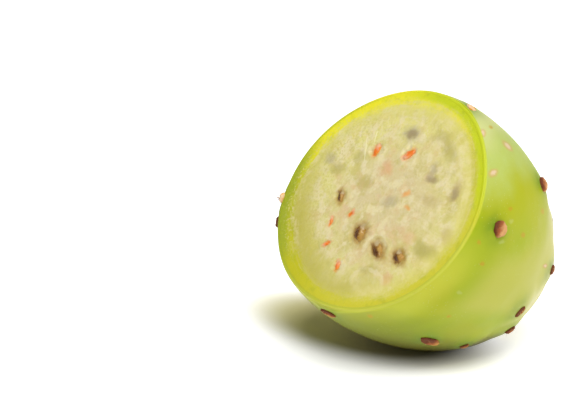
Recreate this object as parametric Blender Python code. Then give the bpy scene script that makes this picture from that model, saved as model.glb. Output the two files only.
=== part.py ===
"""A prickly pear cut slantwise across: the piece with the crown end, lying with its cut face up.

The fruit's own frame has its origin in the middle of the cut face, +X along the core to the crown,
and +Z on the side that is uppermost. A place on the skin is a distance along the core and an angle
round it, from +Z towards +Y. A place on the cut face is how far it lies sideways and how far up from
the middle. All in metres and degrees.
"""

import math
import random

import bmesh
import bpy
from mathutils import Matrix, Vector

# How the piece lies: where the middle of the cut face stands, and how far the core dips to the crown
FACE_CENTRE = Vector((-0.0171, 0.0, 0.0405))
CORE_DIP = 32.0

# Skin: half an egg on each side of the widest ring, lobed a little
WIDEST_AT = 0.0130
WIDEST_RADIUS = 0.0310
CROWN_HALF = 0.0433
STEM_HALF = 0.0410
OVAL, OVAL_AT = 0.020, 116.0
LOBES, LOBES_AT = -0.010, 51.0

# Crown end: a rounded lip round the shallow scar of the flower
SHOULDER_AT = 0.0480
LIP_RADIUS = 0.0034
LIP_TURN = 150.0
SCAR_DEPTH = 0.0040

# Cut face: its slant, the broken edge, the rind ring and the pulp that stands a little proud of it
CUT_SLANT_UP = 4.2
CUT_SLANT_SIDE = -1.5
RIM_BREAK = 0.0004
RIND_WIDTH = 0.0042
RIND_CROWN = 0.00020
PULP_STEP = 0.00035
PULP_CROWN = 0.00090

# Areoles: oval woody pads, each on a low swelling of the skin
AREOLE_SIZE = Vector((0.0020, 0.0017, 0.0012))
AREOLE_DIMPLE = 0.7
SWELLING_HEIGHT = 0.0005
SWELLING_REACH = 0.0055
RIM_AREOLES = ((0.0034, -24.0), (0.0006, 100.0), (0.0003, 112.5), (0.0, 179.5))
NEAR_SIDE_AREOLES = (
    (0.0086, -86.0),
    (0.0184, -148.5),
    (0.0252, -48.5),
    (0.0302, -144.5),
    (0.0332, -112.5),
    (0.0380, -125.0),
    (0.0396, -85.0),
)
FAR_SIDE_SHIFT = 0.0020
CROWN_RING_AT = 0.0452
CROWN_RING_COUNT = 9
CROWN_RING_GAP = 0.0095

# Seeds that the cut opened, as sideways, up and turn on the cut face
BROWN_SEED_SIZE = Vector((0.0021, 0.0016, 0.0013))
BROWN_SEEDS = (
    (0.0110, -0.0017, 15.0),
    (0.0002, -0.0090, 0.0),
    (-0.0071, -0.0117, 40.0),
    (-0.0134, -0.0118, 5.0),
    (-0.0204, 0.0065, 0.0),
    (-0.0131, 0.0074, -20.0),
)
ORANGE_SEED_SIZE = Vector((0.0019, 0.0010, 0.0009))
ORANGE_SEEDS = (
    (0.0072, 0.0120, 5.0),
    (-0.0033, 0.0128, -25.0),
    (0.0103, -0.0088, 0.0),
    (0.0056, -0.0053, -25.0),
    (0.0083, -0.0139, -50.0),
    (0.0023, -0.0182, 10.0),
)
SEED_SINK = 0.0003

# Fineness of the mesh
SEGMENTS = 64
SKIN_RINGS = 15
LIP_RINGS = 5
SCAR_SHARES = (0.72, 0.40)
PULP_SHARES = (0.94, 0.78, 0.55, 0.28)
GRAIN_SIDES, GRAIN_RINGS = 10, 6

DRAW = random.Random(7)
LAY = Matrix.Translation(FACE_CENTRE) @ Matrix.Rotation(math.radians(CORE_DIP), 4, "Y")
FACE_NORMAL = Vector(
    (-1, math.tan(math.radians(CUT_SLANT_SIDE)), math.tan(math.radians(CUT_SLANT_UP)))
).normalized()
FACE_SIDE = FACE_NORMAL.cross(Vector((0, 0, 1))).normalized()
FACE_UP = FACE_SIDE.cross(FACE_NORMAL)


def material(name, colour, roughness):
    made = bpy.data.materials.new(name)
    made.use_nodes = True
    shader = made.node_tree.nodes["Principled BSDF"]
    shader.inputs["Base Color"].default_value = (*colour, 1)
    shader.inputs["Roughness"].default_value = roughness
    shader.inputs["Metallic"].default_value = 0
    return made


def lobed(angle):
    oval = OVAL * math.cos(2 * (angle - math.radians(OVAL_AT)))
    return 1 + oval + LOBES * math.cos(3 * (angle - math.radians(LOBES_AT)))


def egg_radius(distance):
    from_widest = distance - WIDEST_AT
    half = CROWN_HALF if from_widest > 0 else STEM_HALF
    return WIDEST_RADIUS * math.sqrt(1 - (from_widest / half) ** 2)


def ring_point(distance, radius, angle):
    across = radius * lobed(angle)
    return Vector((distance, across * math.sin(angle), across * math.cos(angle)))


def skin_point(distance, angle):
    return ring_point(distance, egg_radius(distance), angle)


def skin_normal(distance, angle):
    step = 0.0002
    along = skin_point(distance + step, angle) - skin_point(distance - step, angle)
    turn = step / WIDEST_RADIUS
    round_it = skin_point(distance, angle + turn) - skin_point(distance, angle - turn)
    return round_it.cross(along).normalized()


def rim_distance(angle):
    """Where the slanting cut meets the skin at this angle."""
    distance = 0.0
    for _ in range(4):
        point = skin_point(distance, angle)
        distance = -(point.y * FACE_NORMAL.y + point.z * FACE_NORMAL.z) / FACE_NORMAL.x
    return distance


def areole_places():
    """The near side's areoles, the same pattern half a turn on, and a ring where the crown has room."""
    places = [(distance, math.radians(degrees)) for distance, degrees in RIM_AREOLES]
    for half_turn in (0, 180):
        for distance, degrees in NEAR_SIDE_AREOLES:
            shift = DRAW.uniform(-FAR_SIDE_SHIFT, FAR_SIDE_SHIFT) if half_turn else 0
            turn = DRAW.uniform(-9, 9) if half_turn else 0
            places.append((distance + shift, math.radians(degrees + half_turn + turn)))
    for step in range(CROWN_RING_COUNT):
        place = (CROWN_RING_AT, math.tau * step / CROWN_RING_COUNT)
        gaps = [(skin_point(*place) - skin_point(*other)).length for other in places]
        if min(gaps) > CROWN_RING_GAP and (LAY @ skin_point(*place)).z > 2 * AREOLE_SIZE.z:
            places.append(place)
    return places


AREOLES = areole_places()


def swollen(point, normal):
    """The point pushed out by the swellings under the areoles near it."""
    rise = 0.0
    for place in AREOLES:
        gap = (point - skin_point(*place)).length
        rise += SWELLING_HEIGHT * math.exp(-((gap / SWELLING_REACH) ** 2))
    return point + normal * rise


def face_rings(angles):
    """Rings of the cut face from the broken edge to the middle, where the last ring is one point."""
    rims = [skin_point(rim_distance(angle), angle) for angle in angles]
    yield [rim + FACE_NORMAL * -RIM_BREAK for rim in rims]

    def ring(inset, height):
        return [rim * (1 - inset / rim.length) + FACE_NORMAL * height for rim in rims]

    yield ring(RIM_BREAK, 0.0)
    yield ring(RIND_WIDTH * 0.55, RIND_CROWN)
    yield ring(RIND_WIDTH, 0.0)
    for share in PULP_SHARES:
        height = PULP_STEP + (PULP_CROWN - PULP_STEP) * (1 - share**2)
        inside = [rim * (1 - RIND_WIDTH / rim.length) * share for rim in rims]
        yield [point + FACE_NORMAL * height for point in inside]
    yield [FACE_NORMAL * PULP_CROWN]


def skin_rings(angles):
    """Rings of the skin from the rim to the shoulder. They slant like the cut at first, and end square."""
    for step in range(1, SKIN_RINGS + 1):
        share = step / SKIN_RINGS
        ring = []
        for angle in angles:
            distance = rim_distance(angle) * (1 - share) + SHOULDER_AT * share
            ring.append(swollen(skin_point(distance, angle), skin_normal(distance, angle)))
        yield ring


def crown_rings(angles):
    """Rings over the lip and down into the scar, which ends in one point."""
    egg_slope = math.atan2(
        WIDEST_RADIUS**2 * (SHOULDER_AT - WIDEST_AT),
        CROWN_HALF**2 * egg_radius(SHOULDER_AT),
    )
    lip_at = SHOULDER_AT - LIP_RADIUS * math.sin(egg_slope)
    lip_out = egg_radius(SHOULDER_AT) - LIP_RADIUS * math.cos(egg_slope)
    for step in range(1, LIP_RINGS + 1):
        turn = egg_slope + (math.radians(LIP_TURN) - egg_slope) * step / LIP_RINGS
        distance = lip_at + LIP_RADIUS * math.sin(turn)
        radius = lip_out + LIP_RADIUS * math.cos(turn)
        yield [ring_point(distance, radius, angle) for angle in angles]
    for share in SCAR_SHARES:
        depth = SCAR_DEPTH * (1 - share**2)
        yield [ring_point(distance - depth, radius * share, angle) for angle in angles]
    yield [Vector((distance - SCAR_DEPTH, 0, 0))]


def bridge(bm, ring, following, material_index):
    """Faces between two rings of equal count, or a fan from a ring to one point."""
    count = max(len(ring), len(following))
    for i in range(count):
        j = (i + 1) % count
        corners = [ring[i % len(ring)], ring[j % len(ring)]]
        corners += [following[j % len(following)], following[i % len(following)]]
        face = bm.faces.new(dict.fromkeys(corners))
        face.material_index = material_index
        face.smooth = True


def cut_flat_spot(bm):
    """A small level face at the height of the surface, pressed flat by the fruit's own weight."""
    whole = bm.verts[:] + bm.edges[:] + bm.faces[:]
    bmesh.ops.bisect_plane(bm, geom=whole, plane_co=(0, 0, 0), plane_no=(0, 0, -1), clear_outer=True)
    open_edges = [edge for edge in bm.edges if edge.is_boundary]
    bmesh.ops.edgeloop_fill(bm, edges=open_edges)


def build_body(skin, pulp):
    """The skin, the crown and the cut face as one closed mesh."""
    bm = bmesh.new()
    angles = [math.tau * i / SEGMENTS for i in range(SEGMENTS)]
    face = [[bm.verts.new(point) for point in ring] for ring in face_rings(angles)]
    outside = [[bm.verts.new(point) for point in ring] for ring in skin_rings(angles)]
    outside += [[bm.verts.new(point) for point in ring] for ring in crown_rings(angles)]
    for ring, following in zip(face, face[1:]):
        bridge(bm, ring, following, 1)
    for ring, following in zip([face[0]] + outside, outside):
        bridge(bm, ring, following, 0)
    bm.transform(LAY)
    cut_flat_spot(bm)
    bmesh.ops.recalc_face_normals(bm, faces=bm.faces)
    mesh = bpy.data.meshes.new("prickly_pear_fruit")
    bm.to_mesh(mesh)
    bm.free()
    mesh.materials.append(skin)
    mesh.materials.append(pulp)
    fruit = bpy.data.objects.new("prickly_pear_fruit", mesh)
    bpy.context.scene.collection.objects.link(fruit)
    return fruit


def grain(name, place, outward, along, size, top, finish, into):
    """An egg of the given half sizes, half sunk at a place on the fruit, its top a share as high."""
    across = outward.cross(along).normalized()
    axes = Matrix((across.cross(outward), across, outward)).transposed().to_4x4()
    shape = Matrix.Diagonal((*size, 1))
    bm = bmesh.new()
    bmesh.ops.create_uvsphere(
        bm,
        u_segments=GRAIN_SIDES,
        v_segments=GRAIN_RINGS,
        radius=1,
        matrix=LAY @ Matrix.Translation(place) @ axes @ shape,
    )
    bm.verts.ensure_lookup_table()
    outermost = LAY @ (place + outward * size.z)
    pole = min(bm.verts, key=lambda vert: (vert.co - outermost).length)
    pole.co = LAY @ (place + outward * size.z * top)
    for face in bm.faces:
        face.smooth = True
    mesh = bpy.data.meshes.new(name)
    bm.to_mesh(mesh)
    bm.free()
    mesh.materials.append(finish)
    into.objects.link(bpy.data.objects.new(name, mesh))


def face_height(point):
    """How far the pulp stands out of the cut plane here."""
    share = point.length / (WIDEST_RADIUS - RIND_WIDTH)
    return PULP_STEP + (PULP_CROWN - PULP_STEP) * (1 - share**2)


def add_areoles(finish, into):
    for distance, angle in AREOLES:
        normal = skin_normal(distance, angle)
        place = swollen(skin_point(distance, angle), normal)
        round_it = Vector((0, math.cos(angle), -math.sin(angle)))
        grain("areole", place, normal, round_it, AREOLE_SIZE, AREOLE_DIMPLE, finish, into)


def add_seeds(name, places, size, finish, into):
    for sideways, up, degrees in places:
        point = FACE_SIDE * sideways + FACE_UP * up
        place = point + FACE_NORMAL * (face_height(point) - SEED_SINK)
        turn = math.radians(degrees)
        along = FACE_UP * math.cos(turn) + FACE_SIDE * math.sin(turn)
        grain(name, place, FACE_NORMAL, along, size, 1.0, finish, into)


def join(fruit, grains):
    """Makes the grains one solid with the fruit, and removes them."""
    modifier = fruit.modifiers.new("grown together", "BOOLEAN")
    modifier.operation = "UNION"
    modifier.operand_type = "COLLECTION"
    modifier.collection = grains
    modifier.solver = "EXACT"
    modifier.material_mode = "TRANSFER"
    bpy.context.view_layer.objects.active = fruit
    bpy.ops.object.modifier_apply(modifier=modifier.name)
    for grain_object in list(grains.objects):
        bpy.data.objects.remove(grain_object)
    bpy.data.collections.remove(grains)


for leftover in list(bpy.data.objects):
    bpy.data.objects.remove(leftover)
grains = bpy.data.collections.new("grains")
bpy.context.scene.collection.children.link(grains)
fruit = build_body(
    material("green skin", (0.42, 0.52, 0.09), 0.42),
    material("pale pulp", (0.72, 0.66, 0.33), 0.35),
)
add_areoles(material("woody areole", (0.20, 0.075, 0.035), 0.8), grains)
brown = material("ripe seed", (0.16, 0.075, 0.02), 0.4)
orange = material("unripe seed", (0.78, 0.20, 0.05), 0.35)
add_seeds("brown seed", BROWN_SEEDS, BROWN_SEED_SIZE, brown, grains)
add_seeds("orange seed", ORANGE_SEEDS, ORANGE_SEED_SIZE, orange, grains)
join(fruit, grains)
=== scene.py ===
"""The looks of a prickly pear cut slantwise across, lying on its side with the cut face up.

Sizes are in metres, and those of the marks of colour in mm. The fruit is modelled in its own frame, with
its origin in the middle of the cut face, +X along the core to the crown and +Z on the side that is
uppermost, and is then laid down.
"""

import math
import random

import bpy
from mathutils import Matrix, Vector, noise


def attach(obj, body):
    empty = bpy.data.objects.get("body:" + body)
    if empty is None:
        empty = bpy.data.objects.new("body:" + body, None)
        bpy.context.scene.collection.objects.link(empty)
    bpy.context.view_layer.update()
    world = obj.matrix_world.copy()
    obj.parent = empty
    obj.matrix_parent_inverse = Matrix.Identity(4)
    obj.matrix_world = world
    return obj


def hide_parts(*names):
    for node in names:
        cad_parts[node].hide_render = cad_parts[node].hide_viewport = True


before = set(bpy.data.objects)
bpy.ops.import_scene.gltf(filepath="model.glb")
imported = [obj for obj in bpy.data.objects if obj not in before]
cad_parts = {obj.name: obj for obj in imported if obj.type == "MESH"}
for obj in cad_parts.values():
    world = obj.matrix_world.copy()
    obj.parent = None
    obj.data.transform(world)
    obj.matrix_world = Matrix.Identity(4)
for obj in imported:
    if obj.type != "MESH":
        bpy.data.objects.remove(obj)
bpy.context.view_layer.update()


# The skin: one thin waxy rind grown round the whole fruit, from the edge of the cut to the shallow scar
# where the flower stood. It is pressed flat where the fruit lies, and swells a little under each areole.
# It is rolled up from a flat grid and closed behind the cut face.
FACE_CENTRE = Vector((-0.0171, 0.0, 0.0405))
CORE_DIP = math.radians(32.0)
LAY = Matrix.Translation(FACE_CENTRE) @ Matrix.Rotation(CORE_DIP, 4, "Y")
WIDEST_AT = 0.013
WIDEST_RADIUS = 0.031
CROWN_HALF = 0.0433
STEM_HALF = 0.041
OVAL, OVAL_AT = 0.02, math.radians(116.0)
LOBES, LOBES_AT = -0.01, math.radians(51.0)
RIM_SHIFTS = ((67.0, 0.00055), (106.0, -0.0004), (-58.0, -0.001))
RIM_SHIFT_REACH = 0.007
RIM_SHIFT_NARROWNESS = 6
SHOULDER_AT = 0.048
LIP_RADIUS = 0.0034
LIP_TURN = math.radians(150.0)
SCAR_DEPTH = 0.004
CUT_SLANT_UP = math.radians(4.2)
CUT_SLANT_SIDE = math.radians(-1.5)
FACE_NORMAL = Vector((-1, math.tan(CUT_SLANT_SIDE), math.tan(CUT_SLANT_UP))).normalized()
FACE_SIDE = FACE_NORMAL.cross(Vector((0, 0, 1))).normalized()
FACE_UP = FACE_SIDE.cross(FACE_NORMAL)
RIM_BREAK = 0.00035
CUTICLE = 0.00045
RIM_STEPS = 3
CUT_BED = 0.003
EVEN_AT_CUT = 0.0012

# Each areole's distance along the core, and its degrees round it
RIM_AREOLES = ((0.0043, -23.5), (-0.0008, 101.2), (0.0003, 112.5), (0.0004, 177.8))
NEAR_SIDE_AREOLES = (
    (0.0078, -85.7),
    (0.0175, -147.4),
    (0.0252, -51.3),
    (0.0288, -143.0),
    (0.033, -112.4),
    (0.038, -125.0),
    (0.0392, -84.4),
)
FAR_SIDE_SHIFT = 0.002
FAR_SIDE_TURN = 9
CROWN_RING_AT = 0.0452
CROWN_RING_COUNT = 9
CROWN_RING_GAP = 0.0095
AREOLE_HEIGHT = 0.0012
SWELLING_HEIGHT = 0.0005
SWELLING_REACH = 0.0055
PAD_COLLAR = 0.00008
COLLAR_AT, COLLAR_WIDTH = 0.0025, 0.0007
HALO_SHIFT = 0.0012
HALO_REACH = 0.0036
HOLLOW_DEPTH = 0.0005
HOLLOW_EDGE = 0.0062
HOLLOWS_FROM, HOLLOWS_TO = 0.023, 0.047
WRINKLE_HEIGHT = 0.00011
SCAR_RING_HEIGHT = 0.00007
LIP_WAVE = 0.00028
# Layers of unevenness: waves in a metre and height
SKIN_LUMPS = ((95, 0.0001), (330, 0.00003))

TURNS = 384
SKIN_ROWS = 96
LIP_ROWS = 12
SCAR_ROWS = 28


def ramp(value, start, length):
    """0 before the start and 1 from a length on. A length below 0 runs the other way."""
    return max(0, min(1, (value - start) / length))


def smoothed(share):
    return share * share * (3 - 2 * share)


def bell(value, width):
    """1 where the value is 0, and falling off on both sides of it."""
    return math.exp(-((value / width) ** 2))


def layered(point, layers, drift=Vector((0, 0, 0)), base=0):
    """Layers of noise added to a base, each with its waves in a unit of length and its strength."""
    return sum((noise.noise(point * waves + drift) * strength for waves, strength in layers), start=base)


def lobed(angle):
    oval = OVAL * math.cos(2 * (angle - OVAL_AT))
    return 1 + oval + LOBES * math.cos(3 * (angle - LOBES_AT))


def egg_radius(distance):
    from_widest = distance - WIDEST_AT
    half = CROWN_HALF if from_widest > 0 else STEM_HALF
    return WIDEST_RADIUS * math.sqrt(1 - (from_widest / half) ** 2)


def ring_point(distance, radius, angle):
    across = radius * lobed(angle)
    return Vector((distance, across * math.sin(angle), across * math.cos(angle)))


def skin_point(distance, angle):
    """A point of the skin. Near the cut it is a little fuller on one side and drawn in at two others."""
    radius = egg_radius(distance)
    for degrees, depth in RIM_SHIFTS:
        beside = math.cos(angle - math.radians(degrees)) - 1
        radius += depth * math.exp(RIM_SHIFT_NARROWNESS * beside) * bell(distance, RIM_SHIFT_REACH)
    return ring_point(distance, radius, angle)


def skin_normal(distance, angle):
    step = 0.0002
    along = skin_point(distance + step, angle) - skin_point(distance - step, angle)
    turn = step / WIDEST_RADIUS
    round_it = skin_point(distance, angle + turn) - skin_point(distance, angle - turn)
    return along.cross(round_it).normalized()


def rim_distance(angle):
    """Where the slanting cut meets the skin at this angle."""
    distance = 0.0
    for _ in range(4):
        point = skin_point(distance, angle)
        distance = -(point.y * FACE_NORMAL.y + point.z * FACE_NORMAL.z) / FACE_NORMAL.x
    return distance


def areole_places():
    """The near side's areoles, the same pattern half a turn on, and a ring where the crown has room."""
    draw = random.Random(7)
    places = [(distance, math.radians(degrees)) for distance, degrees in RIM_AREOLES]
    for half_turn in (0, 180):
        for distance, degrees in NEAR_SIDE_AREOLES:
            shift = draw.uniform(-FAR_SIDE_SHIFT, FAR_SIDE_SHIFT) if half_turn else 0
            turn = draw.uniform(-FAR_SIDE_TURN, FAR_SIDE_TURN) if half_turn else 0
            places.append((distance + shift, math.radians(degrees + half_turn + turn)))
    for step in range(CROWN_RING_COUNT):
        place = (CROWN_RING_AT, math.tau * step / CROWN_RING_COUNT)
        gaps = [(skin_point(*place) - skin_point(*other)).length for other in places]
        if min(gaps) > CROWN_RING_GAP and (LAY @ skin_point(*place)).z > 2 * AREOLE_HEIGHT:
            places.append(place)
    return places


AREOLES = areole_places()
AREOLE_POINTS = [skin_point(*place) for place in AREOLES]
SHOULDER_SLOPE = math.atan2(
    WIDEST_RADIUS**2 * (SHOULDER_AT - WIDEST_AT), CROWN_HALF**2 * egg_radius(SHOULDER_AT)
)
LIP_AT = SHOULDER_AT - LIP_RADIUS * math.sin(SHOULDER_SLOPE)
LIP_OUT = egg_radius(SHOULDER_AT) - LIP_RADIUS * math.cos(SHOULDER_SLOPE)


def skin_station(row, angle):
    """A point on the way from the rim, over the shoulder and the lip, to the middle of the scar."""
    if row <= SKIN_ROWS:
        share = row / SKIN_ROWS
        return skin_point(rim_distance(angle) * (1 - share) + SHOULDER_AT * share, angle)
    share = min(1, (row - SKIN_ROWS) / LIP_ROWS)
    turn = SHOULDER_SLOPE + (LIP_TURN - SHOULDER_SLOPE) * share
    distance = LIP_AT + LIP_RADIUS * math.sin(turn)
    radius = LIP_OUT + LIP_RADIUS * math.cos(turn)
    left = 1 - max(0, row - SKIN_ROWS - LIP_ROWS) / SCAR_ROWS
    return ring_point(distance - SCAR_DEPTH * (1 - left**2), radius * left, angle)


def halo_at(point):
    """How deep the green halo is here. It lies a little on the cut's side of each areole."""
    seen_from = point + Vector((HALO_SHIFT, 0, 0))
    gap = min((seen_from - other).length for other in AREOLE_POINTS)
    return bell(gap, HALO_REACH)


def skin_relief(point):
    """How far the real skin stands out of the plain egg: swellings, a low collar, wrinkles at the scar."""
    rise = layered(point, SKIN_LUMPS)
    gaps = [(point - other).length for other in AREOLE_POINTS]
    towards_crown = ramp(point.x, HOLLOWS_FROM, 0.01) * ramp(point.x, HOLLOWS_TO, -0.004)
    off_floor = ramp((LAY @ point).z, 0.002, 0.004)
    rise -= HOLLOW_DEPTH * towards_crown * off_floor * (1 - math.exp(-((min(gaps) / HOLLOW_EDGE) ** 4)))
    for gap in gaps:
        if gap < 3 * SWELLING_REACH:
            rise += SWELLING_HEIGHT * bell(gap, SWELLING_REACH)
            rise += PAD_COLLAR * bell(gap - COLLAR_AT, COLLAR_WIDTH)
    from_core = math.hypot(point.y, point.z)
    angle = math.atan2(point.y, point.z)
    in_scar = ramp(point.x, LIP_AT - 0.002, 0.003) * max(0, 1 - from_core / (LIP_OUT + 0.001))
    wrinkle = math.sin(23 * angle + 5 * noise.noise(point * 210)) * min(1, from_core / 0.004)
    rings = math.sin(from_core * 3300 + 3 * noise.noise(point * 160))
    rise += min(1, 4 * in_scar) * (WRINKLE_HEIGHT * wrinkle + SCAR_RING_HEIGHT * rings)
    at_lip = bell(point.x - LIP_AT - 0.002, 0.0022) * min(1, from_core / LIP_OUT)
    return rise + at_lip * LIP_WAVE * noise.noise(Vector((math.sin(angle), math.cos(angle), 0)) * 3.1)


def lay_down(piece):
    """Turns a piece that was modelled in the fruit's own frame to where the fruit lies, and applies that."""
    piece.data.transform(LAY)
    piece.data.update()


def finish_edit():
    """Turns every face's front outward and leaves edit mode."""
    bpy.ops.mesh.select_all(action="SELECT")
    bpy.ops.mesh.normals_make_consistent(inside=False)
    bpy.ops.object.mode_set(mode="OBJECT")


def select_border():
    """In edit mode, selects the open edge of the mesh and nothing else."""
    bpy.ops.mesh.select_mode(type="EDGE")
    bpy.ops.mesh.select_all(action="DESELECT")
    bpy.ops.mesh.select_non_manifold(
        use_wire=False, use_boundary=True, use_multi_face=False, use_non_contiguous=False, use_verts=False
    )


bpy.ops.object.select_all(action="DESELECT")
skin_steps = SKIN_ROWS + LIP_ROWS + SCAR_ROWS
bpy.ops.mesh.primitive_grid_add(x_subdivisions=skin_steps, y_subdivisions=TURNS, size=1)
skin = bpy.context.object
skin.name = "fruit_skin"
for vert in skin.data.vertices:
    vert.co = skin_station((vert.co.x + 0.5) * skin_steps, (vert.co.y + 0.5) * math.tau)
bpy.ops.object.mode_set(mode="EDIT")
bpy.ops.mesh.select_all(action="SELECT")
bpy.ops.mesh.remove_doubles(threshold=0.00001)
finish_edit()
rises = []
for vert in skin.data.vertices:
    from_cut = -vert.co.dot(FACE_NORMAL)
    rises.append(skin_relief(vert.co) * ramp(from_cut, 0, EVEN_AT_CUT))
normals = [vert.normal.copy() for vert in skin.data.vertices]
for vert, normal, rise in zip(skin.data.vertices, normals, rises):
    vert.co += normal * rise
bpy.ops.object.mode_set(mode="EDIT")
select_border()
bpy.ops.transform.translate(value=FACE_NORMAL * -RIM_BREAK)
rim_steps = []
for step in range(RIM_STEPS):
    lower, upper = [math.pi / 2 * (step + i) / RIM_STEPS for i in (0, 1)]
    inset = RIM_BREAK * (math.cos(lower) - math.cos(upper))
    rim_steps.append((inset, RIM_BREAK * (math.sin(upper) - math.sin(lower))))
for inset, step in (*rim_steps, (CUTICLE, 0), (0, -CUT_BED)):
    bpy.ops.mesh.extrude_edges_move(TRANSFORM_OT_translate={"value": FACE_NORMAL * step})
    bpy.ops.transform.resize(value=[1 - inset / WIDEST_RADIUS] * 3, center_override=(0, 0, 0))
bpy.ops.mesh.edge_face_add()
bpy.ops.mesh.poke()
bpy.ops.object.mode_set(mode="OBJECT")
halo = skin.data.attributes.new("near_areole", "FLOAT", "POINT")
underside = skin.data.attributes.new("underneath", "FLOAT", "POINT")
for vert in skin.data.vertices:
    halo.data[vert.index].value = halo_at(vert.co)
    underside.data[vert.index].value = max(0, -(LAY.to_3x3() @ vert.normal).z)
lay_down(skin)
bpy.ops.object.mode_set(mode="EDIT")
bpy.ops.mesh.select_all(action="SELECT")
bpy.ops.mesh.bisect(plane_co=(0, 0, 0), plane_no=(0, 0, -1), use_fill=True, clear_outer=True, threshold=1e-7)
finish_edit()
bpy.ops.object.shade_smooth_by_angle(angle=math.radians(35))


class Wire:
    """A value on its way through a material. Sums of wires add Math nodes, and node adds any other."""

    def __init__(self, tree, socket):
        self.tree = tree
        self.socket = socket

    def node(self, kind, settings, sockets, result=0):
        made = self.tree.nodes.new("ShaderNode" + kind)
        for name, value in settings.items():
            setattr(made, name, value)
        for key, value in sockets.items():
            if isinstance(value, Wire):
                self.tree.links.new(value.socket, made.inputs[key])
            else:
                made.inputs[key].default_value = value
        return Wire(self.tree, made.outputs[result])

    def maths(self, operation, first, second):
        return self.node("Math", {"operation": operation}, {0: first, 1: second})

    def vector_maths(self, operation, *others, result=0):
        return self.node("VectorMath", {"operation": operation}, dict(enumerate((self, *others))), result)

    def dot(self, direction):
        return self.vector_maths("DOT_PRODUCT", direction, result="Value")

    def length(self):
        return self.vector_maths("LENGTH", result="Value")

    def attribute(self, name, result="Fac"):
        """A value kept on the points of the mesh."""
        return self.node("Attribute", {"attribute_name": name}, {}, result)

    def __add__(self, other):
        return self.maths("ADD", self, other)

    def __sub__(self, other):
        return self.maths("SUBTRACT", self, other)

    def __rsub__(self, other):
        return self.maths("SUBTRACT", other, self)

    def __mul__(self, other):
        return self.maths("MULTIPLY", self, other)

    def __truediv__(self, other):
        return self.maths("DIVIDE", self, other)

    __radd__ = __add__
    __rmul__ = __mul__


def new_finish(name, **constants):
    """A material with its shader's fixed values, and the wire of a point in the fruit's own frame."""
    finish = bpy.data.materials.new(name)
    finish.use_nodes = True
    tree = finish.node_tree
    shader = tree.nodes["Principled BSDF"]
    for socket, value in constants.items():
        shader.inputs[socket.replace("_", " ")].default_value = value
    world_place = Wire(tree, tree.nodes.new("ShaderNodeTexCoord").outputs["Object"])
    turned = {"Vector": world_place, "Location": FACE_CENTRE, "Rotation": (0, CORE_DIP, 0)}
    place = world_place.node("Mapping", {"vector_type": "TEXTURE"}, turned)
    return finish, shader, place


def plug(wire, shader, socket):
    wire.tree.links.new(wire.socket, shader.inputs[socket])


def bump(height, shader, strength, distance):
    sockets = {"Strength": strength, "Distance": distance, "Height": height}
    plug(height.node("Bump", {}, sockets), shader, "Normal")


def cloud(place, size, detail=2.0, shift=0.0):
    """Soft noise from 0 to 1 whose blobs are about the given size. Shift gives another such noise."""
    moved = place.vector_maths("ADD", (shift, 0, 0))
    return place.node("TexNoise", {}, {"Vector": moved, "Scale": 1 / size, "Detail": detail})


def grade(value, low, high):
    """0 below low and 1 above high, smoothly. Low may be the higher of the two."""
    if low < high:
        return value.node("MapRange", {"interpolation_type": "SMOOTHSTEP"}, {0: value, 1: low, 2: high})
    return 1 - value.node("MapRange", {"interpolation_type": "SMOOTHSTEP"}, {0: value, 1: high, 2: low})


def tinted(under, over, share):
    """A colour with another laid over it by a share. Either may be three numbers."""
    wire = next(item for item in (share, under, over) if isinstance(item, Wire))
    a, b = [item if isinstance(item, Wire) else (*item, 1) for item in (under, over)]
    return wire.node("Mix", {"data_type": "RGBA"}, {0: share, 6: a, 7: b}, 2)


def coated(colour, *coats):
    """A colour with coats of other colours over it, each laid on by its share."""
    for coat, share in coats:
        colour = tinted(colour, coat, share)
    return colour


MM = 0.001
MARK_DEPTH = 0.005


def turned_to(along_it, outward):
    """The turn that brings X along the one direction and Z along the other."""
    return Matrix((along_it, outward.cross(along_it), outward)).transposed()


def oval(place, centre, along_it, outward, half_length, half_width):
    """0 in the middle of an oval mark on a surface, 1 at its edge and more beyond. Sizes are in metres."""
    turn = turned_to(along_it, outward).to_euler()
    scale = (half_length, half_width, MARK_DEPTH)
    sockets = {"Vector": place, "Location": centre, "Rotation": turn, "Scale": scale}
    return place.node("Mapping", {"vector_type": "TEXTURE"}, sockets).length()


def shaken(place, size, amount, detail=3.0):
    """The same place, moved a little to and fro, so that what is drawn there gets a ragged edge."""
    shift = place.node("TexNoise", {}, {"Vector": place, "Scale": 1 / size, "Detail": detail}, "Color")
    return shift.vector_maths("SUBTRACT", (0.5,) * 3).vector_maths("MULTIPLY_ADD", (amount,) * 3, place)


def skin_axes(distance, angle, degrees):
    """Two directions at a place on the skin: one turned from lengthways to round the core, and outward."""
    outward = skin_normal(distance, angle)
    round_it = Vector((0, math.cos(angle), -math.sin(angle)))
    lengthways = round_it.cross(outward)
    turn = math.radians(degrees)
    return lengthways * math.cos(turn) + round_it * math.sin(turn), outward


def skin_mark(place, mark):
    """The reach of an oval mark on the skin: along the core, degrees round it, half sizes (mm) and turn."""
    distance, degrees, half_length, half_width, turn = mark
    distance *= MM
    angle = math.radians(degrees)
    centre = skin_point(distance, angle)
    return oval(place, centre, *skin_axes(distance, angle, turn), half_length * MM, half_width * MM)


RIND_LEMON_AND_LIGHT = (0.8, 0.74, 0.02)
RIND_LIME = (0.56, 0.62, 0.012)
RIND_GOLD = (0.6, 0.56, 0.035)
RIND_YELLOW = (0.52, 0.495, 0.012)
RIND_GREEN_AND_SHADE = (0.33, 0.39, 0.02)


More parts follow.
